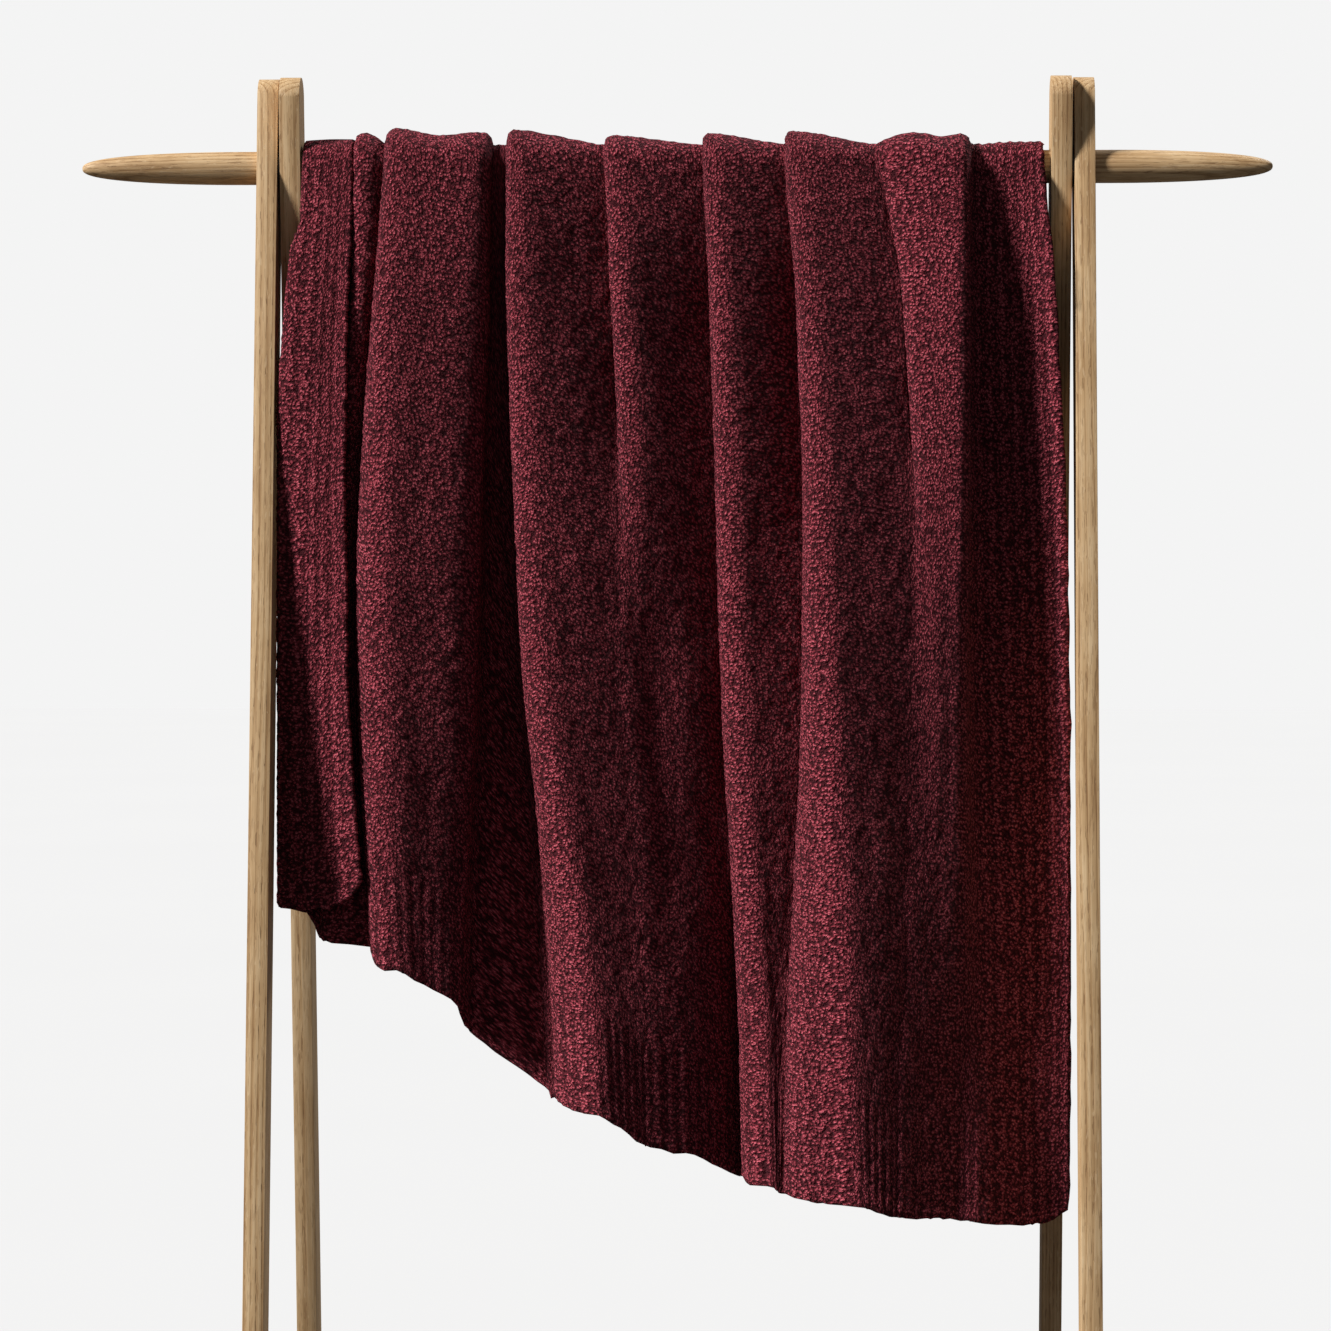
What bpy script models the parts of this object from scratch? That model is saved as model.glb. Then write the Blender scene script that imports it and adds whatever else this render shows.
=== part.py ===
"""A knitted quilt hung over the round bar of a folding oak rack.

World axes: +X along the bar to the right, -Y to the front, +Z up. Metres.
The origin is on the floor, below the middle of the bar.
Two pairs of legs cross at the bar. Each leg turns about the bar and stops where its
screw meets the end of a short slot in the bar. The quilt lies over the bar, unfastened.
"""
import math

import bmesh
import bpy
import numpy as np
from mathutils import Matrix, Vector

GAP = 0.0003  # between solids that touch

# The bar.
BAR_HEIGHT = 1.410
BAR_LENGTH = 1.188
BAR_RADIUS = 0.0165
TAPER_LENGTH = 0.160
TAPER_BLUNTNESS = 0.38  # 0.5 would be an ellipse, less is blunter
BAR_SIDES = 48
TAPER_STEPS = 10

# The legs: an inner pair that reaches back and an outer pair that reaches forward.
LEG_WIDTH = 0.0205  # along the bar
LEG_DEPTH = 0.046
LEG_ABOVE_BAR = 0.090
LEG_TILT = math.radians(6.8)
LEG_EDGE = 0.0022
CROWN_RISE = 0.019  # how far the rounded top stands above its front and back edges
CROWN_STEPS = 14
INNER_FACE = 0.373  # from the middle to the inner leg
LEG_SPACING = 0.0026
BORE_CLEARANCE = 0.0003

# What holds the legs on the bar.
WASHER_RADIUS = 0.0205
SCREW_RADIUS = 0.0030
SCREW_RECESS = 0.0006
SCREW_SLOT_WIDTH = 0.0009
SCREW_SLOT_DEPTH = 0.0010
DOG_RADIUS = 0.0020
DOG_DEPTH = 0.0035  # into the bar
SLOT_PLAY = 0.0003
PAD_THICKNESS = 0.003
PAD_INSET = 0.0012

# The quilt, as a sheet that hangs from the bar at the front and the back.
QUILT_LENGTH = 1.52
QUILT_THICKNESS = 0.006
LEVELS = (0.0, 0.13, 0.45, 0.85)  # drops below the bar where the folds are placed
# Each fold line, left to right: its place along the bar and its distance in front of the
# bar's axis at each level, and how far below the axis the hem is on it.
FOLDS = (
    ((-0.364, 0.027), (-0.376, 0.048), (-0.391, 0.058), (-0.392, 0.064), 0.735),
    ((-0.322, 0.025), (-0.324, 0.040), (-0.326, 0.058), (-0.332, 0.062), 0.764),
    ((-0.276, 0.034), (-0.285, 0.066), (-0.290, 0.088), (-0.272, 0.090), 0.800),
    ((-0.196, 0.031), (-0.198, 0.046), (-0.208, 0.058), (-0.230, 0.062), 0.826),
    ((-0.178, 0.021), (-0.180, 0.022), (-0.180, 0.024), (-0.170, 0.030), 0.880),
    ((-0.157, 0.034), (-0.150, 0.062), (-0.134, 0.088), (-0.094, 0.096), 0.934),
    ((-0.075, 0.022), (-0.060, 0.030), (-0.044, 0.058), (-0.020, 0.070), 0.966),
    ((-0.048, 0.032), (-0.036, 0.048), (-0.010, 0.046), (0.010, 0.056), 0.980),
    ((0.026, 0.021), (0.036, 0.022), (0.047, 0.025), (0.066, 0.030), 1.003),
    ((0.042, 0.034), (0.052, 0.058), (0.064, 0.080), (0.086, 0.096), 1.006),
    ((0.108, 0.021), (0.120, 0.026), (0.127, 0.056), (0.118, 0.090), 1.014),
    ((0.124, 0.036), (0.138, 0.068), (0.148, 0.124), (0.160, 0.134), 1.018),
    ((0.200, 0.023), (0.226, 0.036), (0.236, 0.092), (0.228, 0.114), 1.030),
    ((0.246, 0.032), (0.252, 0.058), (0.258, 0.090), (0.256, 0.104), 1.035),
    ((0.284, 0.032), (0.286, 0.060), (0.283, 0.082), (0.282, 0.092), 1.038),
    ((0.297, 0.021), (0.299, 0.023), (0.301, 0.036), (0.306, 0.074), 1.042),
    ((0.364, 0.023), (0.375, 0.044), (0.388, 0.056), (0.391, 0.066), 1.046),
)
COLUMNS_PER_FOLD = 2
FRONT_ROWS = 11
BAR_ROWS = 6
BACK_ROWS = 7
BACK_SPREAD = 1.5  # how many times deeper the folds are at the back hem than on the bar

OAK = ("oak", (0.62, 0.44, 0.25), 0.55, 0.0)
BRASS = ("brass", (0.72, 0.53, 0.25), 0.35, 1.0)
NYLON = ("nylon", (0.10, 0.09, 0.08), 0.55, 0.0)
FELT = ("felt", (0.20, 0.17, 0.14), 0.95, 0.0)
KNIT = ("knit", (0.32, 0.05, 0.08), 0.95, 0.0)


def clear_scene():
    for thing in list(bpy.data.objects):
        bpy.data.objects.remove(thing, do_unlink=True)


def material(name, colour, roughness, metallic):
    made = bpy.data.materials.get(name) or bpy.data.materials.new(name)
    made.use_nodes = True
    shader = made.node_tree.nodes["Principled BSDF"]
    shader.inputs["Base Color"].default_value = (*colour, 1.0)
    shader.inputs["Roughness"].default_value = roughness
    shader.inputs["Metallic"].default_value = metallic
    return made


def make_object(name, shape, look, place=None):
    """An object from a bmesh, shaded smooth up to 35 degrees."""
    mesh = bpy.data.meshes.new(name)
    bmesh.ops.recalc_face_normals(shape, faces=shape.faces)
    shape.to_mesh(mesh)
    shape.free()
    mesh.shade_smooth()
    mesh.set_sharp_from_angle(angle=math.radians(35))
    mesh.materials.append(material(*look))
    made = bpy.data.objects.new(name, mesh)
    bpy.context.scene.collection.objects.link(made)
    if place is not None:
        made.matrix_world = place
    return made


def turned(profile, sides):
    """A closed solid turned about X from (x, radius) points. End points lie on the axis."""
    shape = bmesh.new()
    rings = []
    for x, radius in profile[1:-1]:
        ring = []
        for step in range(sides):
            angle = 2 * math.pi * step / sides
            ring.append(shape.verts.new((x, radius * math.sin(angle), radius * math.cos(angle))))
        rings.append(ring)
    first = shape.verts.new((profile[0][0], 0, 0))
    last = shape.verts.new((profile[-1][0], 0, 0))
    for ring, after in zip(rings, rings[1:]):
        for step in range(sides):
            beside = (step + 1) % sides
            shape.faces.new((ring[step], ring[beside], after[beside], after[step]))
    for step in range(sides):
        beside = (step + 1) % sides
        shape.faces.new((first, rings[0][beside], rings[0][step]))
        shape.faces.new((last, rings[-1][step], rings[-1][beside]))
    return shape


def box(width, depth, height, place):
    shape = bmesh.new()
    bmesh.ops.create_cube(shape, size=1.0)
    bmesh.ops.scale(shape, vec=(width, depth, height), verts=shape.verts)
    bmesh.ops.transform(shape, matrix=place, verts=shape.verts)
    return shape


def cylinder(radius, start, end, axis, sides):
    """A closed cylinder from start to end along X or Y."""
    shape = bmesh.new()
    turn = Matrix.Rotation(math.radians(90), 4, "Y" if axis == "X" else "X")
    bmesh.ops.create_cone(
        shape,
        cap_ends=True,
        segments=sides,
        radius1=radius,
        radius2=radius,
        depth=end - start,
        matrix=turn,
    )
    middle = Vector((1, 0, 0) if axis == "X" else (0, 1, 0)) * (start + end) / 2
    bmesh.ops.translate(shape, vec=middle, verts=shape.verts)
    return shape


def cut(target, name, shape, place=None):
    """Cuts a closed shape out of an object with a Boolean."""
    cutter = make_object(name, shape, NYLON, place)
    cutter.hide_render = True
    cutter.display_type = "WIRE"
    boolean = target.modifiers.new(name, "BOOLEAN")
    boolean.operation = "DIFFERENCE"
    boolean.solver = "EXACT"
    boolean.object = cutter


def bar_radius(along):
    """The bar's radius at a distance from its middle."""
    left = BAR_LENGTH / 2 - abs(along)
    if left >= TAPER_LENGTH:
        return BAR_RADIUS
    inward = 1 - max(left, 0) / TAPER_LENGTH
    return BAR_RADIUS * (1 - inward * inward) ** TAPER_BLUNTNESS


def leg_middle(inner):
    """How far the middle of a leg's width is from the middle of the bar."""
    if inner:
        return INNER_FACE + LEG_WIDTH / 2
    return INNER_FACE + LEG_WIDTH * 1.5 + LEG_SPACING


def legs():
    """The name, side, inner or outer, and tilt of each leg. A positive tilt puts the foot back."""
    return (
        ("left_front_leg", -1, False, -LEG_TILT),
        ("left_rear_leg", -1, True, LEG_TILT),
        ("right_rear_leg", 1, True, LEG_TILT),
        ("right_front_leg", 1, False, -LEG_TILT),
    )


def at_bar(side, inner, tilt):
    """The place of a leg's own axes: on the bar's axis, turned by the tilt."""
    where = Matrix.Translation((side * leg_middle(inner), 0, BAR_HEIGHT))
    return where @ Matrix.Rotation(tilt, 4, "X")


def build_crossbar():
    ends = [TAPER_LENGTH * (step / TAPER_STEPS) ** 2 for step in range(TAPER_STEPS + 1)]
    half = [BAR_LENGTH / 2 - left for left in ends]
    stations = [-x for x in half] + half[::-1]
    profile = [(x, bar_radius(x)) for x in stations]
    bar = make_object("crossbar", turned(profile, BAR_SIDES), OAK)
    bar.location = (0, 0, BAR_HEIGHT)
    reach = BAR_RADIUS * math.sin(LEG_TILT / 2) + DOG_RADIUS + SLOT_PLAY
    bottom = BAR_RADIUS - DOG_DEPTH - SLOT_PLAY
    for name, side, inner, tilt in legs():
        slot = box(
            2 * (DOG_RADIUS + SLOT_PLAY),
            BAR_RADIUS,
            2 * reach,
            Matrix.Translation((0, bottom + BAR_RADIUS / 2, 0)),
        )
        cut(bar, name + "_slot", slot, at_bar(side, inner, tilt / 2))


def leg_outline(tilt):
    """The side view of a leg as (depth, height) points about the bar's axis, anticlockwise."""
    half = LEG_DEPTH / 2
    floor = BAR_HEIGHT - PAD_THICKNESS - GAP
    outline = []
    for depth in (-half, half):
        outline.append((depth, (-floor - depth * math.sin(tilt)) / math.cos(tilt)))
    radius = (half * half + CROWN_RISE * CROWN_RISE) / (2 * CROWN_RISE)
    sweep = math.asin(half / radius)
    if CROWN_RISE > half:
        sweep = math.pi - sweep
    for step in range(CROWN_STEPS + 1):
        angle = sweep * (1 - 2 * step / CROWN_STEPS)
        height = LEG_ABOVE_BAR - radius + radius * math.cos(angle)
        outline.append((radius * math.sin(angle), height))
    return outline


def build_leg(name, side, inner, tilt):
    shape = bmesh.new()
    points = [shape.verts.new((-LEG_WIDTH / 2, y, z)) for y, z in leg_outline(tilt)]
    face = shape.faces.new(points)
    pushed = bmesh.ops.extrude_face_region(shape, geom=[face])
    moved = [item for item in pushed["geom"] if isinstance(item, bmesh.types.BMVert)]
    bmesh.ops.translate(shape, vec=(LEG_WIDTH, 0, 0), verts=moved)
    leg = make_object(name, shape, OAK, at_bar(side, inner, tilt))
    edges = leg.modifiers.new("eased_edges", "BEVEL")
    edges.width = LEG_EDGE
    edges.segments = 3
    edges.limit_method = "ANGLE"
    edges.angle_limit = math.radians(50)
    bore = BAR_RADIUS + BORE_CLEARANCE
    through = cylinder(bore, -LEG_WIDTH, LEG_WIDTH, "X", BAR_SIDES)
    cut(leg, name + "_bore", through, at_bar(side, inner, tilt))
    screw_hole = cylinder(SCREW_RADIUS + GAP, BAR_RADIUS / 2, LEG_DEPTH, "Y", 24)
    cut(leg, name + "_screw_hole", screw_hole, at_bar(side, inner, tilt))


def build_stop_screw(name, side, inner, tilt):
    """A slotted grub screw from the rear face whose dog point runs in the bar's slot."""
    place = at_bar(side, inner, tilt)
    shoulder = BAR_RADIUS + 2 * GAP
    outer = LEG_DEPTH / 2 - SCREW_RECESS
    point = BAR_RADIUS - DOG_DEPTH
    profile = (
        (point, 0),
        (point, DOG_RADIUS),
        (shoulder, DOG_RADIUS),
        (shoulder, SCREW_RADIUS),
        (outer, SCREW_RADIUS),
        (outer, 0),
    )
    shape = turned(profile, 24)
    bmesh.ops.rotate(shape, matrix=Matrix.Rotation(math.radians(90), 3, "Z"), verts=shape.verts)
    screw = make_object(name, shape, BRASS, place)
    slot = box(
        SCREW_SLOT_WIDTH,
        2 * SCREW_SLOT_DEPTH,
        4 * SCREW_RADIUS,
        Matrix.Translation((0, outer, 0)),
    )
    cut(screw, name + "_driver_slot", slot, place)


def build_pivot_washer(name, side):
    """The nylon washer between the two legs of a pair."""
    middle = side * (INNER_FACE + LEG_WIDTH + LEG_SPACING / 2)
    thick = LEG_SPACING - 2 * GAP
    place = Matrix.Translation((middle, 0, BAR_HEIGHT))
    washer = make_object(
        name, cylinder(WASHER_RADIUS, -thick / 2, thick / 2, "X", BAR_SIDES), NYLON, place
    )
    hole = cylinder(BAR_RADIUS + BORE_CLEARANCE, -thick, thick, "X", BAR_SIDES)
    cut(washer, name + "_hole", hole, place)


def build_foot_pad(name, side, inner, tilt):
    """The felt pad under a leg, level with the floor."""
    depth = LEG_DEPTH / math.cos(tilt) - 2 * PAD_INSET
    width = LEG_WIDTH - 2 * PAD_INSET
    reach = (BAR_HEIGHT - PAD_THICKNESS - GAP) * math.tan(tilt)
    middle = Vector((side * leg_middle(inner), reach, PAD_THICKNESS / 2))
    place = Matrix.Translation(middle)
    make_object(name, box(width, depth, PAD_THICKNESS, Matrix()), FELT, place)


def smooth_path(points, per_span):
    """Points along a Catmull-Rom curve through the given ones."""
    ends = [2 * points[0] - points[1]] + list(points) + [2 * points[-1] - points[-2]]
    path = []
    for a, b, c, d in zip(ends, ends[1:], ends[2:], ends[3:]):
        for step in range(per_span):
            t = step / per_span
            bend = (2 * a - 5 * b + 4 * c - d) * t * t + (3 * b - a - 3 * c + d) * t**3
            path.append(b + ((c - a) * t + bend) / 2)
    path.append(points[-1])
    return np.array(path)


def fold_section(drop):
    """The quilt's line across all folds, as (along, out) points, at a drop per fold line."""
    places = np.array([[level for level in line[:4]] for line in FOLDS])
    marks = []
    for line, level in zip(places, drop):
        at = np.clip(level, LEVELS[0], LEVELS[-1])
        marks.append([np.interp(at, LEVELS, line[:, axis]) for axis in (0, 1)])
    return smooth_path(np.array(marks), COLUMNS_PER_FOLD)


def quilt_rows():
    """Rows of points on the quilt's middle surface, from the front hem over to the back hem."""
    hems = np.array([line[4] for line in FOLDS])
    on_bar = fold_section(np.zeros(len(FOLDS)))
    hem_drops = smooth_path(np.stack([hems, hems], 1), COLUMNS_PER_FOLD)[:, 0]
    rows = []
    for step in range(FRONT_ROWS):
        share = 1 - step / FRONT_ROWS
        across = fold_section(hems * share)
        heights = BAR_HEIGHT - hem_drops * share
        rows.append(np.stack([across[:, 0], -across[:, 1], heights], 1))
    for step in range(BAR_ROWS + 1):
        angle = math.pi * step / BAR_ROWS
        out = on_bar[:, 1]
        heights = BAR_HEIGHT + out * math.sin(angle)
        rows.append(np.stack([on_bar[:, 0], -out * math.cos(angle), heights], 1))
    back_drops = QUILT_LENGTH - hem_drops - math.pi * on_bar[:, 1]
    for step in range(1, BACK_ROWS + 1):
        share = step / BACK_ROWS
        rest = BAR_RADIUS + QUILT_THICKNESS
        deeper = (on_bar[:, 1] - rest) * (1 + (BACK_SPREAD - 1) * share) + rest
        heights = BAR_HEIGHT - back_drops * share
        rows.append(np.stack([on_bar[:, 0] * (1 - 0.01 * share), deeper, heights], 1))
    return np.array(rows)


def build_quilt():
    rows = quilt_rows()
    across = np.gradient(rows, axis=1)
    along = np.gradient(rows, axis=0)
    normals = np.cross(along, across)
    normals /= np.linalg.norm(normals, axis=2, keepdims=True)
    offset = normals * QUILT_THICKNESS / 2
    shape = bmesh.new()
    sides = []
    for surface in (rows + offset, rows - offset):
        sides.append([[shape.verts.new(point) for point in row] for row in surface])
    height, width = rows.shape[:2]
    for grid in sides:
        for i in range(height - 1):
            for j in range(width - 1):
                corners = (grid[i][j], grid[i][j + 1], grid[i + 1][j + 1], grid[i + 1][j])
                shape.faces.new(corners)
    rim = [(i, 0) for i in range(height)] + [(height - 1, j) for j in range(1, width)]
    rim += [(i, width - 1) for i in range(height - 2, -1, -1)]
    rim += [(0, j) for j in range(width - 2, 0, -1)]
    for (i, j), (m, n) in zip(rim, rim[1:] + rim[:1]):
        shape.faces.new((sides[0][i][j], sides[0][m][n], sides[1][m][n], sides[1][i][j]))
    make_object("quilt", shape, KNIT)


clear_scene()
build_crossbar()
for leg in legs():
    build_leg(*leg)
    build_stop_screw(leg[0].replace("leg", "stop_screw"), *leg[1:])
    build_foot_pad(leg[0].replace("leg", "foot_pad"), *leg[1:])
build_pivot_washer("left_pivot_washer", -1)
build_pivot_washer("right_pivot_washer", 1)
build_quilt()
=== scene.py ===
"""A knitted quilt hung over the round bar of a folding oak rack, as it is looked at.

Metres. +X runs along the bar to the right, -Y is the front, +Z is up, and the floor is Z = 0.
"""
import math

import bmesh
import bpy
import numpy as np
from mathutils import Matrix, Vector


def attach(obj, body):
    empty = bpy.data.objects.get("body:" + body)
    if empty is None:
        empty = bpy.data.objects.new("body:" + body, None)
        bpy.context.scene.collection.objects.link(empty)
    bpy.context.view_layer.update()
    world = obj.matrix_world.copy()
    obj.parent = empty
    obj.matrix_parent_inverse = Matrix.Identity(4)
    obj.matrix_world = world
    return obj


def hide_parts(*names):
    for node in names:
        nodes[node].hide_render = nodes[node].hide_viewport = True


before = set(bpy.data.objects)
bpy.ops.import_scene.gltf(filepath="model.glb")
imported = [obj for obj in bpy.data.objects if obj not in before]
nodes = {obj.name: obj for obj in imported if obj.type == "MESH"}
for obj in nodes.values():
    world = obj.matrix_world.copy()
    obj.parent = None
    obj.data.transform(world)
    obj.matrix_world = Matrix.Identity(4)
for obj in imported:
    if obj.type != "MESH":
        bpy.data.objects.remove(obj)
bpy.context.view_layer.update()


# Camera, floor and light.
# The rack stands on a wide pale floor in a bright plain studio. A low key light from the front
# left rakes across the folds, and a weaker one behind on the right rims the timber.
EYE = Vector((0.11, -4.5, 1.0))
LOOKED_AT = Vector((-0.010, 0.0, 0.913))
VIEW_WIDTH = 1.331  # how much the view takes in at the bar
SENSOR = 36.0  # in millimetres, as a camera's sensor is given
FLOOR_SIZE = 60.0
FLOOR_TONES = ((0.629, 0.632, 0.640, 1), (0.635, 0.638, 0.646, 1))
FLOOR_BOUNCE = (0.07, 0.07, 0.07, 1)  # what the floor throws back up on the rack
BACKGROUND = 0.905  # the studio wall's brightness
FILL = 0.130  # what the studio wall gives back as light

camera = bpy.data.objects.new("camera", bpy.data.cameras.new("camera"))
bpy.context.scene.collection.objects.link(camera)
camera.location = EYE
camera.rotation_euler = (LOOKED_AT - EYE).to_track_quat("-Z", "Y").to_euler()
camera.data.sensor_width = SENSOR
camera.data.lens = SENSOR * (LOOKED_AT - EYE).length / VIEW_WIDTH
bpy.context.scene.camera = camera
bpy.context.scene.view_settings.view_transform = "Standard"


def add_sun(name, towards, strength, softness, colour):
    """A far light that shines from an azimuth and elevation. These and its softness are degrees."""
    azimuth, elevation = math.radians(towards[0]), math.radians(towards[1])
    flat = math.cos(elevation)
    source = Vector((flat * math.sin(azimuth), -flat * math.cos(azimuth), math.sin(elevation)))
    lamp = bpy.data.objects.new(name, bpy.data.lights.new(name, "SUN"))
    bpy.context.scene.collection.objects.link(lamp)
    lamp.location = source * 5
    lamp.rotation_euler = source.to_track_quat("Z", "Y").to_euler()
    lamp.data.energy = strength
    lamp.data.angle = math.radians(softness)
    lamp.data.color = colour


add_sun("key_light", (-67, 35), 5.4, 11.0, (1.0, 0.985, 0.96))
add_sun("back_light", (140, 42), 1.5, 20.0, (0.97, 0.985, 1.0))

studio = bpy.data.worlds.new("studio")
bpy.context.scene.world = studio
studio.use_nodes = True
sky = studio.node_tree
sky.nodes.clear()
sky_out = sky.nodes.new("ShaderNodeOutputWorld")
sky_mix = sky.nodes.new("ShaderNodeMixShader")
sky_seen = sky.nodes.new("ShaderNodeBackground")
sky_light = sky.nodes.new("ShaderNodeBackground")
sky_path = sky.nodes.new("ShaderNodeLightPath")
sky_seen.inputs["Color"].default_value = (BACKGROUND, BACKGROUND, BACKGROUND, 1)
sky_light.inputs["Color"].default_value = (FILL, FILL, FILL, 1)
sky.links.new(sky_path.outputs["Is Camera Ray"], sky_mix.inputs["Fac"])
sky.links.new(sky_light.outputs["Background"], sky_mix.inputs[1])
sky.links.new(sky_seen.outputs["Background"], sky_mix.inputs[2])
sky.links.new(sky_mix.outputs["Shader"], sky_out.inputs["Surface"])


def new_material(name, roughness, metallic=0.0, specular=0.5):
    """A material with one Principled shader. Returns it, its node tree and the shader."""
    made = bpy.data.materials.new(name)
    made.use_nodes = True
    tree = made.node_tree
    shader = tree.nodes["Principled BSDF"]
    shader.inputs["Roughness"].default_value = roughness
    shader.inputs["Metallic"].default_value = metallic
    shader.inputs["Specular IOR Level"].default_value = specular
    return made, tree, shader


def add_node(tree, kind, settings=None, **values):
    """A shader node with its settings, and the values of its named inputs."""
    node = tree.nodes.new(kind)
    for name, value in (settings or {}).items():
        setattr(node, name, value)
    for name, value in values.items():
        node.inputs[name.replace("_", " ")].default_value = value
    return node


def add_math(tree, operation, *operands, clamp=False):
    """A Math node. Each operand is a number or another node's output."""
    node = tree.nodes.new("ShaderNodeMath")
    node.operation = operation
    node.use_clamp = clamp
    for place, operand in enumerate(operands):
        if isinstance(operand, (int, float)):
            node.inputs[place].default_value = operand
        else:
            tree.links.new(operand, node.inputs[place])
    return node.outputs["Value"]


def add_ramp(tree, value, stops):
    """A Color Ramp over (place, colour) stops."""
    node = tree.nodes.new("ShaderNodeValToRGB")
    node.color_ramp.elements[0].position, node.color_ramp.elements[0].color = stops[0]
    node.color_ramp.elements[1].position, node.color_ramp.elements[1].color = stops[-1]
    for place, colour in stops[1:-1]:
        node.color_ramp.elements.new(place).color = colour
    tree.links.new(value, node.inputs["Fac"])
    return node.outputs["Color"]


def add_mix(tree, blend, amount, first, second):
    """A Mix node for colours. The amount and the colours are values or outputs."""
    node = tree.nodes.new("ShaderNodeMix")
    node.data_type = "RGBA"
    node.blend_type = blend
    for place, operand in ((0, amount), (6, first), (7, second)):
        if isinstance(operand, (int, float, tuple)):
            node.inputs[place].default_value = operand
        else:
            tree.links.new(operand, node.inputs[place])
    return node.outputs[2]


floor_paint, floor_tree, floor_shader = new_material("floor_paint", 0.95, specular=0.0)
floor_noise = add_node(floor_tree, "ShaderNodeTexNoise", Scale=0.6, Detail=2.0)
floor_place = add_node(floor_tree, "ShaderNodeTexCoord")
floor_tree.links.new(floor_place.outputs["Object"], floor_noise.inputs["Vector"])
floor_colour = add_ramp(
    floor_tree, floor_noise.outputs["Fac"], [(0.3, FLOOR_TONES[0]), (0.7, FLOOR_TONES[1])]
)
floor_tree.links.new(floor_colour, floor_shader.inputs["Base Color"])
# The floor looks pale, but throws little light back up on the quilt.
floor_dim = add_node(floor_tree, "ShaderNodeBsdfDiffuse", Color=FLOOR_BOUNCE)
floor_path = floor_tree.nodes.new("ShaderNodeLightPath")
floor_mix = floor_tree.nodes.new("ShaderNodeMixShader")
floor_tree.links.new(floor_path.outputs["Is Camera Ray"], floor_mix.inputs["Fac"])
floor_tree.links.new(floor_dim.outputs["BSDF"], floor_mix.inputs[1])
floor_tree.links.new(floor_shader.outputs["BSDF"], floor_mix.inputs[2])
floor_tree.links.new(
    floor_mix.outputs["Shader"], floor_tree.nodes["Material Output"].inputs["Surface"]
)
bpy.ops.object.select_all(action="DESELECT")
bpy.ops.mesh.primitive_plane_add(size=FLOOR_SIZE, location=(0, 0, 0))
floor = bpy.context.object
floor.name = "floor"
floor.data.materials.append(floor_paint)


# The legs.
# Four square-edged oak staves, crossed in two pairs at the bar. Their tops are rounded over from
# front to back, every edge is eased, and the feet are cut level. Each is bored for the bar and
# drilled from behind for its stop screw.
BAR_HEIGHT = 1.410
LEG_WIDTH = 0.0205
LEG_DEPTH = 0.046
LEG_ABOVE_BAR = 0.090
LEG_TILT = math.radians(6.8)
LEG_EDGE = 0.0016
CROWN_RISE = 0.019
CROWN_STEPS = 10
CROWN_TIP = 0.0004  # the last step keeps this half width, so that its faces stay sound
FOOT_LEVEL = 0.0033  # the feet stand this high, on their pads
SPARE_LENGTH = 0.02  # below the floor, and cut off
BORE_RADIUS = 0.0168
SCREW_HOLE_RADIUS = 0.0033
SCREW_HOLE_DEPTH = 0.015
CUTTER_LENGTH = 0.06  # of the cylinder that bores a leg through
OAK_TONES = (
    (0.0, (0.21, 0.105, 0.043, 1)),
    (0.30, (0.40, 0.235, 0.106, 1)),
    (0.58, (0.58, 0.382, 0.198, 1)),
    (1.0, (0.75, 0.555, 0.335, 1)),
)
OAK_FLECK = (0.82, 0.63, 0.40, 1)
OAK_PORE = (0.25, 0.13, 0.055, 1)
LEG_LOOKS = (
    # name, body, middle along the bar, tilt, where in the log it was sawn
    ("left_front_leg", "left_front", -0.40635, -LEG_TILT, (0.031, 0.052, 0.3)),
    ("left_rear_leg", "left_rear", -0.38325, LEG_TILT, (-0.012, 0.075, 1.9)),
    ("right_rear_leg", "right_rear", 0.38325, LEG_TILT, (0.044, 0.030, 3.1)),
    ("right_front_leg", "right_front", 0.40635, -LEG_TILT, (-0.028, 0.064, 4.4)),
)


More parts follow.
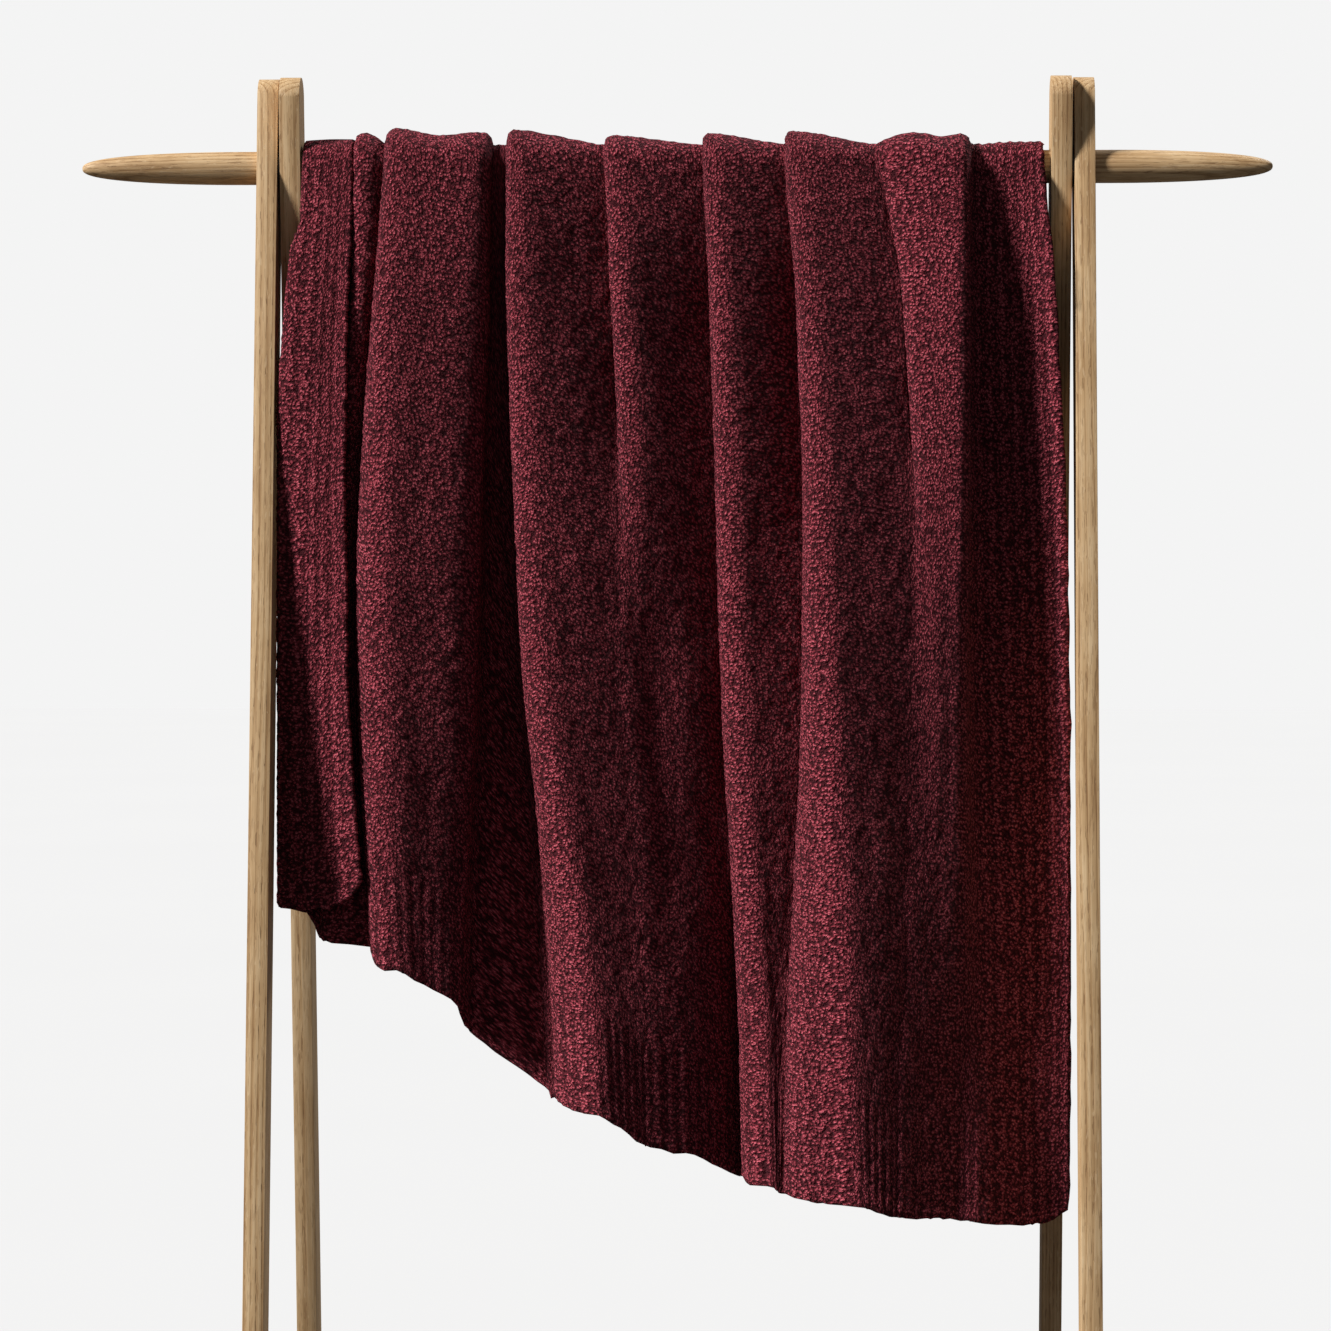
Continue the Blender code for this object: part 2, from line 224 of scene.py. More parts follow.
def oak_grain():
    """Oak's growth rings, pores, rays and streaks. The grain runs along the vector's Z."""
    group = bpy.data.node_groups.new("oak_grain", "ShaderNodeTree")
    sockets = group.interface
    sockets.new_socket("Vector", in_out="INPUT", socket_type="NodeSocketVector")
    for name, value in (("Ring Spacing", 0.0040), ("Contrast", 0.62)):
        made = sockets.new_socket(name, in_out="INPUT", socket_type="NodeSocketFloat")
        made.default_value = value
    sockets.new_socket("Color", in_out="OUTPUT", socket_type="NodeSocketColor")
    sockets.new_socket("Roughness", in_out="OUTPUT", socket_type="NodeSocketFloat")
    sockets.new_socket("Height", in_out="OUTPUT", socket_type="NodeSocketFloat")
    given = group.nodes.new("NodeGroupInput")
    result = group.nodes.new("NodeGroupOutput")

    def stretched(scale, source):
        place = add_node(group, "ShaderNodeMapping", Scale=scale)
        group.links.new(source, place.inputs["Vector"])
        return place.outputs["Vector"]

    def noise(source, scale, detail, rough=0.55, distortion=0.0):
        made = add_node(
            group, "ShaderNodeTexNoise", Scale=scale, Detail=detail, Roughness=rough,
            Distortion=distortion,
        )
        group.links.new(source, made.inputs["Vector"])
        return made.outputs["Fac"]

    vector = given.outputs["Vector"]
    # Rings about the heart of the log, bent a little along its length.
    wander = noise(stretched((9.0, 9.0, 1.0), vector), 1.0, 2.0)
    flat = stretched((1.0, 1.0, 0.0), vector)
    away = add_node(group, "ShaderNodeVectorMath", {"operation": "LENGTH"})
    group.links.new(flat, away.inputs[0])
    bent = add_math(group, "MULTIPLY_ADD", wander, 0.020, away.outputs["Value"])
    rings = add_math(group, "DIVIDE", bent, given.outputs["Ring Spacing"])
    late_wood = ((0.0, 0), (0.12, 0.35), (0.45, 0.9), (0.9, 1), (1.0, 0))
    late = add_ramp(
        group, add_math(group, "FRACT", rings),
        [(place, (amount, amount, amount, 1)) for place, amount in late_wood],
    )
    # Fine streaks, wider bands and clouds of colour, and open pores, mostly in the early wood.
    streaks = noise(stretched((1.0, 1.0, 0.018), vector), 430.0, 5.0, 0.7)
    bands = noise(stretched((1.0, 1.0, 0.045), vector), 150.0, 3.0, 0.6)
    clouds = noise(stretched((1.0, 1.0, 0.30), vector), 38.0, 3.0)
    pore_noise = noise(stretched((1.0, 1.0, 0.08), vector), 820.0, 1.0)
    pores = add_math(group, "GREATER_THAN", pore_noise, 0.60)
    early = add_math(group, "SUBTRACT", 1.35, late)
    pore_mask = add_math(group, "MULTIPLY", pores, early, clamp=True)
    # Silvery flecks where the rays break the surface.
    ray_noise = noise(stretched((1.0, 0.55, 0.16), vector), 420.0, 1.0, 0.5, 0.6)
    flecks = add_math(group, "GREATER_THAN", ray_noise, 0.69)

    tone = add_math(group, "MULTIPLY_ADD", streaks, 0.85, add_math(group, "MULTIPLY", bands, 0.50))
    tone = add_math(group, "MULTIPLY_ADD", late, 0.26, tone)
    tone = add_math(group, "MULTIPLY_ADD", clouds, 0.60, tone)
    tone = add_math(group, "SUBTRACT", tone, 1.13)
    contrast = add_math(group, "MULTIPLY", given.outputs["Contrast"], 2.0)
    tone = add_math(group, "MULTIPLY_ADD", tone, contrast, 0.5, clamp=True)
    wood = add_ramp(group, tone, OAK_TONES)
    wood = add_mix(group, "MIX", add_math(group, "MULTIPLY", flecks, 0.28), wood, OAK_FLECK)
    wood = add_mix(group, "MIX", add_math(group, "MULTIPLY", pore_mask, 0.62), wood, OAK_PORE)
    group.links.new(wood, result.inputs["Color"])
    gloss = add_math(group, "MULTIPLY_ADD", streaks, -0.12, 0.60)
    group.links.new(gloss, result.inputs["Roughness"])
    height = add_math(group, "MULTIPLY_ADD", streaks, 0.5, add_math(group, "MULTIPLY", late, 0.15))
    height = add_math(group, "MULTIPLY_ADD", pore_mask, -0.55, height)
    group.links.new(height, result.inputs["Height"])
    return group


oak_grain_group = oak_grain()


def oak_material(name, turn, offset):
    """Oiled oak. turn brings the piece's length onto Z, and offset places it in the log."""
    oak, tree, shader = new_material(name, 0.55, specular=0.35)
    place = add_node(tree, "ShaderNodeTexCoord")
    lined_up = add_node(tree, "ShaderNodeMapping", {"vector_type": "POINT"})
    lined_up.inputs["Rotation"].default_value = turn
    lined_up.inputs["Location"].default_value = offset
    grain = add_node(tree, "ShaderNodeGroup", {"node_tree": oak_grain_group})
    bump = add_node(tree, "ShaderNodeBump", Strength=0.55, Distance=0.0007)
    tree.links.new(place.outputs["Object"], lined_up.inputs["Vector"])
    tree.links.new(lined_up.outputs["Vector"], grain.inputs["Vector"])
    tree.links.new(grain.outputs["Color"], shader.inputs["Base Color"])
    tree.links.new(grain.outputs["Roughness"], shader.inputs["Roughness"])
    tree.links.new(grain.outputs["Height"], bump.inputs["Height"])
    tree.links.new(bump.outputs["Normal"], shader.inputs["Normal"])
    return oak


def faces_where(piece, test):
    """Selects, in edit mode, only the faces that pass a test."""
    bpy.ops.mesh.select_mode(type="FACE")
    shape = bmesh.from_edit_mesh(piece.data)
    for face in shape.faces:
        face.select_set(bool(test(face)))
    shape.select_flush_mode()
    bmesh.update_edit_mesh(piece.data)


def settle(piece):
    """Puts a piece's place into its mesh, and leaves its object at the origin."""
    bpy.ops.object.select_all(action="DESELECT")
    piece.select_set(True)
    bpy.context.view_layer.objects.active = piece
    bpy.ops.object.transform_apply(location=True, rotation=True, scale=True)


def cut_hole(piece, radius, length, middle, turn):
    """Bores a round hole with a cylinder, which is removed afterwards."""
    bpy.ops.object.select_all(action="DESELECT")
    bpy.ops.mesh.primitive_cylinder_add(
        vertices=64, radius=radius, depth=length, location=middle, rotation=turn
    )
    cutter = bpy.context.object
    boolean = piece.modifiers.new("hole", "BOOLEAN")
    boolean.operation = "DIFFERENCE"
    boolean.solver = "EXACT"
    boolean.object = cutter
    bpy.ops.object.select_all(action="DESELECT")
    piece.select_set(True)
    bpy.context.view_layer.objects.active = piece
    bpy.ops.object.modifier_apply(modifier="hole")
    bpy.data.objects.remove(cutter, do_unlink=True)


for name, body, middle, tilt, sawn_from in LEG_LOOKS:
    # An upright stave whose top is drawn up in steps along the arc of its crown.
    shoulder = BAR_HEIGHT + LEG_ABOVE_BAR - CROWN_RISE
    length = shoulder + SPARE_LENGTH
    bpy.ops.object.select_all(action="DESELECT")
    bpy.ops.mesh.primitive_cube_add(size=1, location=(middle, 0, shoulder - length / 2))
    leg = bpy.context.object
    leg.name = leg.data.name = name + "_shaped"
    bpy.ops.transform.resize(value=(LEG_WIDTH, LEG_DEPTH, length))
    settle(leg)
    half = LEG_DEPTH / 2
    crown_radius = (half**2 + CROWN_RISE**2) / (2 * CROWN_RISE)
    crown_sweep = math.asin(half / crown_radius)
    arc_middle = BAR_HEIGHT + LEG_ABOVE_BAR - crown_radius
    bpy.ops.object.mode_set(mode="EDIT")
    faces_where(leg, lambda face: face.normal.z > 0.9)
    reached, width = shoulder, half
    for step in range(1, CROWN_STEPS + 1):
        angle = crown_sweep * (1 - step / CROWN_STEPS)
        height = arc_middle + crown_radius * math.cos(angle)
        across = max(crown_radius * math.sin(angle), CROWN_TIP)
        bpy.ops.mesh.extrude_region_move(
            TRANSFORM_OT_translate={"value": (0, 0, height - reached)}
        )
        bpy.ops.transform.resize(
            value=(1, across / width, 1), center_override=(middle, 0, height)
        )
        reached, width = height, across
    # The foot will be level once the leg leans, so it is cut on the slant now.
    level = Vector((0, math.sin(tilt), math.cos(tilt)))
    bpy.ops.mesh.select_all(action="SELECT")
    bpy.ops.mesh.bisect(
        plane_co=Vector((middle, 0, BAR_HEIGHT)) - level * (BAR_HEIGHT - FOOT_LEVEL),
        plane_no=level,
        use_fill=True,
        clear_inner=True,
    )
    bpy.ops.object.mode_set(mode="OBJECT")
    easing = leg.modifiers.new("eased_edges", "BEVEL")
    easing.width = LEG_EDGE
    easing.segments = 3
    easing.limit_method = "ANGLE"
    easing.angle_limit = math.radians(50)
    bpy.ops.object.modifier_apply(modifier="eased_edges")
    leg.data.transform(
        Matrix.Translation((0, 0, BAR_HEIGHT))
        @ Matrix.Rotation(tilt, 4, "X")
        @ Matrix.Translation((0, 0, -BAR_HEIGHT))
    )
    on_axis = Vector((middle, 0, BAR_HEIGHT))
    cut_hole(leg, BORE_RADIUS, CUTTER_LENGTH, on_axis, (0, math.pi / 2, 0))
    back = Matrix.Rotation(tilt, 3, "X") @ Vector((0, LEG_DEPTH / 2, 0))
    slant = (math.pi / 2 + tilt, 0, 0)
    cut_hole(leg, SCREW_HOLE_RADIUS, 2 * SCREW_HOLE_DEPTH, on_axis + back, slant)
    bpy.ops.object.shade_smooth_by_angle(angle=math.radians(32))
    start = Matrix.Rotation(-tilt, 3, "X") @ on_axis
    leg.data.materials.clear()
    leg.data.materials.append(
        oak_material("oak_" + name, (-tilt, 0, 0), Vector(sawn_from) - start)
    )
    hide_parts(name)
    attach(leg, body)


# The crossbar.
# One turned oak rod that runs through the legs and tapers to a blunt point at each end. Each
# taper is drawn out of the rod's end face in steps, closer together towards the point.
BAR_LENGTH = 1.188
BAR_RADIUS = 0.0165
TAPER_LENGTH = 0.160
TAPER_BLUNTNESS = 0.38
TAPER_STEPS = 26
BAR_TIP = 0.00002  # the last step stops this far from the point


def bar_radius(along):
    """The bar's radius at a place along it: its taper rounds off to a blunt point."""
    left = BAR_LENGTH / 2 - abs(along)
    if left >= TAPER_LENGTH:
        return BAR_RADIUS
    inward = 1 - max(left, 0) / TAPER_LENGTH
    return BAR_RADIUS * (1 - inward * inward) ** TAPER_BLUNTNESS


bpy.ops.object.select_all(action="DESELECT")
bpy.ops.mesh.primitive_cylinder_add(
    vertices=64, radius=BAR_RADIUS, depth=BAR_LENGTH - 2 * TAPER_LENGTH,
    location=(0, 0, BAR_HEIGHT), rotation=(0, math.pi / 2, 0),
)
bar = bpy.context.object
bar.name = bar.data.name = "turned_crossbar"
settle(bar)
bpy.ops.object.mode_set(mode="EDIT")
for side in (-1, 1):
    faces_where(bar, lambda face: face.normal.x * side > 0.9)
    reached, radius = BAR_LENGTH / 2 - TAPER_LENGTH, BAR_RADIUS
    for step in range(1, TAPER_STEPS + 1):
        left = TAPER_LENGTH * (1 - step / TAPER_STEPS) ** 2
        along = BAR_LENGTH / 2 - max(left, BAR_TIP)
        thinner = bar_radius(along)
        bpy.ops.mesh.extrude_region_move(
            TRANSFORM_OT_translate={"value": (side * (along - reached), 0, 0)}
        )
        bpy.ops.transform.resize(
            value=(1, thinner / radius, thinner / radius),
            center_override=(side * along, 0, BAR_HEIGHT),
        )
        reached, radius = along, thinner
bpy.ops.object.mode_set(mode="OBJECT")
bpy.ops.object.shade_smooth_by_angle(angle=math.radians(60))
bar.data.materials.clear()
bar.data.materials.append(
    oak_material("oak_crossbar", (0, math.pi / 2, 0), (0.046 - BAR_HEIGHT, 0.030, 0.0))
)
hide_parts("crossbar")
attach(bar, "bar")


# The stop screws.
# Slotted brass grub screws, one driven into each leg from behind. Their points run in slots in
# the bar, which keep the legs on it and stop them when the rack is open.
def speckled(name, colours, scale, roughness, metallic, bump_depth):
    """A finish with a fine mottled colour and a fine bump."""
    made, tree, shader = new_material(name, roughness, metallic)
    place = add_node(tree, "ShaderNodeTexCoord")
    noise = add_node(tree, "ShaderNodeTexNoise", Scale=scale, Detail=5.0, Roughness=0.6)
    tree.links.new(place.outputs["Object"], noise.inputs["Vector"])
    colour = add_ramp(tree, noise.outputs["Fac"], [(0.32, colours[0]), (0.68, colours[1])])
    rough = add_math(tree, "MULTIPLY_ADD", noise.outputs["Fac"], 0.3, roughness - 0.15)
    bump = add_node(tree, "ShaderNodeBump", Strength=0.5, Distance=bump_depth)
    tree.links.new(colour, shader.inputs["Base Color"])
    tree.links.new(rough, shader.inputs["Roughness"])
    tree.links.new(noise.outputs["Fac"], bump.inputs["Height"])
    tree.links.new(bump.outputs["Normal"], shader.inputs["Normal"])
    return made


def finish_all(ending, finish):
    """Gives a finish to every piece whose name has an ending."""
    for name, node in nodes.items():
        if name.endswith(ending):
            node.material_slots[0].material = finish


BRASS_TONES = ((0.55, 0.36, 0.13, 1), (0.78, 0.57, 0.26, 1))
finish_all("_screw", speckled("satin_brass", BRASS_TONES, 900, 0.34, 1.0, 0.00005))


# The pivot washers.
# Thin black nylon rings on the bar, one between the two legs of each pair. They keep the legs
# from rubbing when the rack folds.
NYLON_TONES = ((0.020, 0.019, 0.018, 1), (0.040, 0.038, 0.036, 1))
finish_all("_washer", speckled("black_nylon", NYLON_TONES, 700, 0.55, 0.0, 0.00005))


# The foot pads.
# Brown felt, glued under each level-cut foot so that the rack stands softly on the floor. It is
# mottled and has no shine.
FELT_TONES = ((0.05, 0.038, 0.028, 1), (0.15, 0.115, 0.085, 1))
finish_all("_pad", speckled("brown_felt", FELT_TONES, 1400, 0.95, 0.0, 0.0006))


# The quilt.
# A thick looped chenille knit, 1.27 by 1.52 m, with a soft ribbed border all round. It hangs
# over the bar askew, lower at the front right, and the left border is folded over to the front.
QUILT_WIDTH = 1.27
QUILT_LENGTH = 1.52
BORDER = 0.102
RIB = 0.0147  # from rib to rib
COURSE = 0.0046  # from one row of knitting to the next
OUTWARD = 0.0032  # from the middle of the cloth to its outer face
INWARD = 0.0022  # and to its inner face, where it is hidden
PILE = 0.0015  # how far the loops stand up or sink in
CORNER = 0.030  # how far from a corner its rounding starts
SIDE_CURL = 0.006  # how far the edges curl away from the bar
END_CURL = 0.004
ON_BAR = 0.0197  # from the bar's axis to the middle of the cloth
BACK_REACH = 0.3675  # half the width that fits between the inner legs behind the bar
FRONT_REACH = 0.3685  # and in front of it
PAST_LEG = 0.0225  # how much wider the cloth may be once it is in front of the inner legs
# The yarn's red, running from painted shade in the gaps between loops up to painted highlight on
# the loop tops.
YARN_RED_AND_PAINTED_SHADE = (
    (0.36, (0.058, 0.0068, 0.0114, 1)),
    (0.50, (0.190, 0.0235, 0.0365, 1)),
    (0.62, (0.410, 0.060, 0.086, 1)),
    (0.78, (0.780, 0.170, 0.220, 1)),
)
LEVELS = (0.0, 0.13, 0.45, 0.85)  # drops below the bar at which the folds are placed
# The lines of the drape from left to right, in millimetres. A line gives how far the cloth rises
# over the bar, then its place along the bar and distance in front of the bar's axis at each
# level, and the hem's drop. A fold gives its rise, the place and distance of its foot, how far
# the crest leans past the foot and the crest's distance at each level, and two drops.
DRAPE = {
    "flap_edge": (7, (-320, 30), (-322, 48), (-323, 66), (-293, 78), 730),
    "flap_face": (7, (-348, 29), (-352, 48), (-362, 60), (-366, 62), 737),
    "left_turn": (5, (-371, 25), (-382, 44), (-397, 48), (-397, 50), 735),
    "flap_under": (1, (-349, 20), (-351, 26), (-361, 31), (-363, 38), 744),
    "pleat": (
        12, (-316, 22, 9, 35), (-321, 28, 10, 46), (-336, 36, 10, 48), (-350, 42, 12, 54), 766, 770
    ),
    "third": (
        16, (-285, 26, 16, 44), (-295, 38, 18, 66), (-315, 46, 30, 86), (-292, 50, 22, 84), 774, 795
    ),
    "third_edge": (12, (-190, 34), (-192, 47), (-202, 60), (-216, 62), 829),
    "deep_valley": (0, (-183, 20), (-185, 20), (-194, 21), (-206, 21), 860),
    "valley_side": (0, (-169, 20), (-167, 20), (-155, 21), (-127, 22), 922),
    "fourth": (
        15, (-164, 20, 10, 43), (-162, 21, 14, 60), (-150, 22, 20, 88), (-122, 24, 44, 98), 927, 935
    ),
    "fifth": (
        9, (-67, 20, 11, 41), (-58, 25, 14, 58), (-50, 63, 30, 51), (-26, 80, 34, 65), 968, 976
    ),
    "sixth": (
        11, (31, 20, 10, 42), (38, 21, 12, 60), (48, 24, 16, 82), (66, 28, 26, 95), 1004, 1006
    ),
    "seventh": (
        13, (113, 20, 10, 44), (123, 25, 13, 72), (129, 60, 22, 128), (114, 90, 60, 138), 1012, 1018
    ),
    "eighth": (
        11, (203, 22, 44, 38), (228, 37, 24, 62), (238, 94, 20, 92), (227, 119, 20, 110), 1031, 1033
    ),
    "eighth_edge": (10, (286, 38), (287, 66), (284, 84), (281, 93), 1037),
    "eighth_foot": (0, (294, 20), (294, 23), (293, 40), (298, 84), 1040),
    "right_panel": (2, (332, 20), (336, 25), (342, 35), (348, 55), 1047),
    "right_edge": (2, (366, 21), (378, 44), (390, 45), (395, 46), 1042),
}
KNEE = 0.38  # a fold's long slope bends this far along it
COLUMNS = 276
FRONT_ROWS = 192
BAR_ROWS = 18
BACK_ROWS = 78
FLAP_COLUMNS = 27  # the inner face shows on the flap, so it is as fine there as the outer one
COARSE = 3  # elsewhere it has one face for each three by three of the outer face's


def through(points, spans, shares):
    """Points on a centripetal Catmull-Rom curve: in the given spans, at the given shares."""
    ends = np.concatenate(
        [2 * points[:1] - points[1:2], points, 2 * points[-1:] - points[-2:-1]]
    )
    knots = np.zeros(len(ends))
    steps = np.linalg.norm(np.diff(ends, axis=0), axis=1) ** 0.5
    knots[1:] = np.cumsum(np.maximum(steps, 1e-4))
    k = spans
    t0, t1, t2, t3 = knots[k], knots[k + 1], knots[k + 2], knots[k + 3]
    t = t1 + (t2 - t1) * shares
    p0, p1, p2, p3 = ends[k], ends[k + 1], ends[k + 2], ends[k + 3]

    def between(a, b, ta, tb):
        return a * ((tb - t) / (tb - ta))[:, None] + b * ((t - ta) / (tb - ta))[:, None]

    a1, a2, a3 = between(p0, p1, t0, t1), between(p1, p2, t1, t2), between(p2, p3, t2, t3)
    b1, b2 = between(a1, a2, t0, t2), between(a2, a3, t1, t3)
    return between(b1, b2, t1, t2)


def smooth_noise(across, along, size_across, size_along, seed):
    """Smooth random bumps from -1 to 1 over the cloth, of about the given sizes."""
    dice = np.random.default_rng(seed)
    u, v = across / size_across, along / size_along
    lattice = dice.uniform(-1, 1, (int(u.max()) + 3, int(v.max()) + 3))
    i, j = u.astype(int), v.astype(int)
    fu, fv = u - i, v - j
    fu, fv = fu * fu * (3 - 2 * fu), fv * fv * (3 - 2 * fv)
    low = lattice[i, j] * (1 - fu) + lattice[i + 1, j] * fu
    high = lattice[i, j + 1] * (1 - fu) + lattice[i + 1, j + 1] * fu
    return low * (1 - fv) + high * fv


def drape_lines():
    """Every line of the drape as (rise, four places, drop). A fold has a foot tucked under it,
    a flank, a brow, a crest and a knee on the long slope towards the next foot."""
    given = list(DRAPE.values())
    lines = []
    for number, line in enumerate(given):
        if len(line) == 6:
            lines.append((line[0], line[1:5], line[5]))
            continue
        after = given[number + 1]
        foot, tuck, flank, brow, crest, knee = [], [], [], [], [], []
        for (x, out, lean, top), beyond in zip(line[1:5], after[1:5]):
            # A crisp fold stands up steeply and one that leans far is soft. One whose crest is
            # behind its foot has faded out, and is straight.
            soft = min(max((lean - 16) / 22, 0), 1)
            height = top - out
            tuck.append((x - 4, out + 1))
            foot.append((x, out))
            if height > 0:
                low_share, high_share = 0.30 * soft - 0.05, 0.24 + 0.38 * soft
                flank.append((x + lean * low_share, out + 0.5 * height))
                brow.append((x + lean * high_share, out + (0.90 - 0.12 * soft) * height))
            else:
                flank.append((x + lean / 3, out + height / 3))
                brow.append((x + lean * 2 / 3, out + height * 2 / 3))
            crest.append((x + lean, top))
            run = beyond[0] - x - lean
            bulge = run * (0.018 + (0.035 * soft if height > 0 else 0))
            knee.append((x + lean + KNEE * run, top + KNEE * (beyond[1] - top) + bulge))
        rise, low, high = line[0], line[5], line[6]
        lines += [
            (0, tuck, low),
            (0.15 * rise, foot, low),
            (0.6 * rise, flank, (low + high) / 2),
            (rise, brow, high),
            (rise, crest, high),
            ((1 - KNEE) * rise, knee, high + KNEE * (after[5] - high)),
        ]
    return lines


# Where each column of the cloth lies among the lines.
lines = drape_lines()
marks = np.array([line[1] for line in lines], float) / 1000  # line, level, (x, out)
rises = np.array([line[0] for line in lines], float) / 1000
hems = np.array([line[2] for line in lines], float) / 1000
spacing = np.linalg.norm(np.diff(marks, axis=0), axis=2).mean(axis=1)
line_places = np.concatenate([[0], np.cumsum(spacing)])
line_places *= COLUMNS / line_places[-1]
column = np.arange(COLUMNS + 1)
span = np.clip(np.searchsorted(line_places, column, side="right") - 1, 0, len(rises) - 2)
share = (column - line_places[span]) / np.diff(line_places)[span]


def at_columns(values):
    """Values given at the lines, read at the columns of the cloth."""
    curve = np.stack([line_places, values], axis=1)
    return through(curve, span, share)[:, 1]


rise = np.maximum(at_columns(rises), 0)
drop = at_columns(hems)
levels = np.array(LEVELS)
steps = np.diff(marks, axis=1) / np.diff(levels)[None, :, None]
slopes = np.concatenate([steps[:, :1], steps[:, 1:], steps[:, -1:]], axis=1)
before, after = steps[:, :-1], steps[:, 1:]
slopes[:, 1:-1] = np.where(before * after > 0, 2 * before * after / (before + after + 1e-12), 0)


def section_at(down):
    """The cloth's place along and in front of the bar, column by column, at a drop below it."""
    k = min(int(np.searchsorted(levels, down, side="right")) - 1, len(levels) - 2)
    wide = levels[k + 1] - levels[k]
    part = (down - levels[k]) / wide
    above, below = marks[:, k], marks[:, k + 1]
    if part > 1:  # past the last level, where the folds open more slowly
        part = 1 + (part - 1) * 0.6
        line = below + (part - 1) * wide * slopes[:, k + 1]
    else:
        p2, p3 = part**2, part**3
        line = (
            (2 * p3 - 3 * p2 + 1) * above + (p3 - 2 * p2 + part) * wide * slopes[:, k]
            + (3 * p2 - 2 * p3) * below + (p3 - p2) * wide * slopes[:, k + 1]
        )
    return through(line, span, share)


# The cloth's middle surface: down the front from the hem up, over the bar, and down the back.
drops = np.arange(0, 1.10, 0.01)
section = np.stack([section_at(down) for down in drops])
rows = FRONT_ROWS + BAR_ROWS + BACK_ROWS
over = slice(FRONT_ROWS, FRONT_ROWS + BAR_ROWS + 1)
behind = slice(FRONT_ROWS + BAR_ROWS, rows + 1)
turn = math.pi * np.arange(BAR_ROWS + 1) / BAR_ROWS
cloth = np.zeros((COLUMNS + 1, rows + 1, 3))
for i in range(COLUMNS + 1):
    down = drop[i] * (1 - np.arange(FRONT_ROWS + 1) / FRONT_ROWS)
    cloth[i, : FRONT_ROWS + 1, 0] = np.interp(down, drops, section[:, i, 0])
    cloth[i, : FRONT_ROWS + 1, 1] = -np.interp(down, drops, section[:, i, 1])
    cloth[i, : FRONT_ROWS + 1, 2] = BAR_HEIGHT - down
    out = max(section[0, i, 1], ON_BAR)
    back_out = ON_BAR + (out - ON_BAR) * 0.9
    cloth[i, over, 0] = section[0, i, 0]
    cloth[i, over, 1] = np.where(turn < math.pi / 2, -out, -back_out) * np.cos(turn)
    cloth[i, over, 2] = BAR_HEIGHT + (ON_BAR + rise[i]) * np.sin(turn)
    # What is left of the length hangs behind, where the folds swell as they fall.
    girth = math.pi * (out + ON_BAR + rise[i]) / 2
    fall = (QUILT_LENGTH - drop[i] - girth) * np.arange(BACK_ROWS + 1) / BACK_ROWS
    swell = 1 + 1.9 * (fall / 0.45) ** 0.8 * (0.9 if out > ON_BAR else 0)
    folded = back_out - ON_BAR + 0.3 * rise[i] * np.minimum(fall / 0.08, 1)
    cloth[i, behind, 0] = section[0, i, 0]
    cloth[i, behind, 1] = ON_BAR + folded * swell
    cloth[i, behind, 2] = BAR_HEIGHT - fall

across = np.repeat(column[:, None] * (QUILT_WIDTH / COLUMNS), rows + 1, axis=1)
lengths = np.linalg.norm(np.diff(cloth, axis=1), axis=2)
along = np.concatenate([np.zeros((COLUMNS + 1, 1)), np.cumsum(lengths, axis=1)], axis=1)
along *= QUILT_LENGTH / along[:, -1:]

# Nothing hangs quite straight: the folds wander and the slack bellies a little.
free = np.clip(np.abs(cloth[:, :, 2] - BAR_HEIGHT - 0.02) / 0.12, 0, 1)
cloth[:, :, 0] += 0.0022 * free * smooth_noise(across, along, 0.30, 0.14, 11)
belly = 0.0022 * smooth_noise(across, along, 0.07, 0.15, 12)
belly += 0.0009 * smooth_noise(across, along, 0.035, 0.05, 13)
cloth[:, :, 1] += np.sign(cloth[:, :, 1]) * free * belly
# The knitted edges curl away from the bar.
side_gap = np.minimum(across, QUILT_WIDTH - across)
end_gap = np.minimum(along, QUILT_LENGTH - along)
curl = SIDE_CURL * np.clip(1 - side_gap / 0.022, 0, 1) ** 2
end_curl = END_CURL * np.clip(1 - end_gap / 0.020, 0, 1) ** 2
cloth[:, :, 1] += np.sign(cloth[:, :, 1]) * (curl * free + end_curl)

# Ease the creases, but leave the edges where they are.
within = cloth[1:-1, 1:-1]
neighbours = (cloth[2:, 1:-1] + cloth[:-2, 1:-1] + cloth[1:-1, 2:] + cloth[1:-1, :-2]) / 4
within += 0.35 * (neighbours - within)

# The cloth is kept clear of the bar, and of the legs whether the rack is open or closed.
least = np.where(cloth[:, :, 2] <= BAR_HEIGHT, ON_BAR, 0)
cloth[:, :, 1] = np.where(
    cloth[:, :, 1] < 0, np.minimum(cloth[:, :, 1], -least), np.maximum(cloth[:, :, 1], least)
)
forward = np.clip((-cloth[:, :, 1] - 0.036) / 0.006, 0, 1)
forward = forward * forward * (3 - 2 * forward)
widest = np.where(cloth[:, :, 1] > 0, BACK_REACH, FRONT_REACH + PAST_LEG * forward)
cloth[:, :, 0] = np.clip(cloth[:, :, 0], -widest, widest)

# The corners are rounded by drawing their rows and columns in.
fine_column = np.repeat(column[:, None].astype(float), rows + 1, axis=1)
fine_row = np.repeat(np.arange(rows + 1, dtype=float)[None, :], COLUMNS + 1, axis=0)
p = np.clip(1 - side_gap / CORNER, 0, 1)
q = np.clip(1 - end_gap / CORNER, 0, 1)
side_shift = CORNER * p * (1 - np.sqrt(1 - q * q / 2))
end_shift = CORNER * q * (1 - np.sqrt(1 - p * p / 2))
column_pitch = QUILT_WIDTH / COLUMNS
row_pitch = np.where(fine_row < rows / 2, along[:, 1:2], QUILT_LENGTH - along[:, -2:-1])
fine_column += np.where(across < QUILT_WIDTH / 2, 1, -1) * side_shift / column_pitch
fine_row += np.where(fine_row < rows / 2, 1, -1) * end_shift / row_pitch


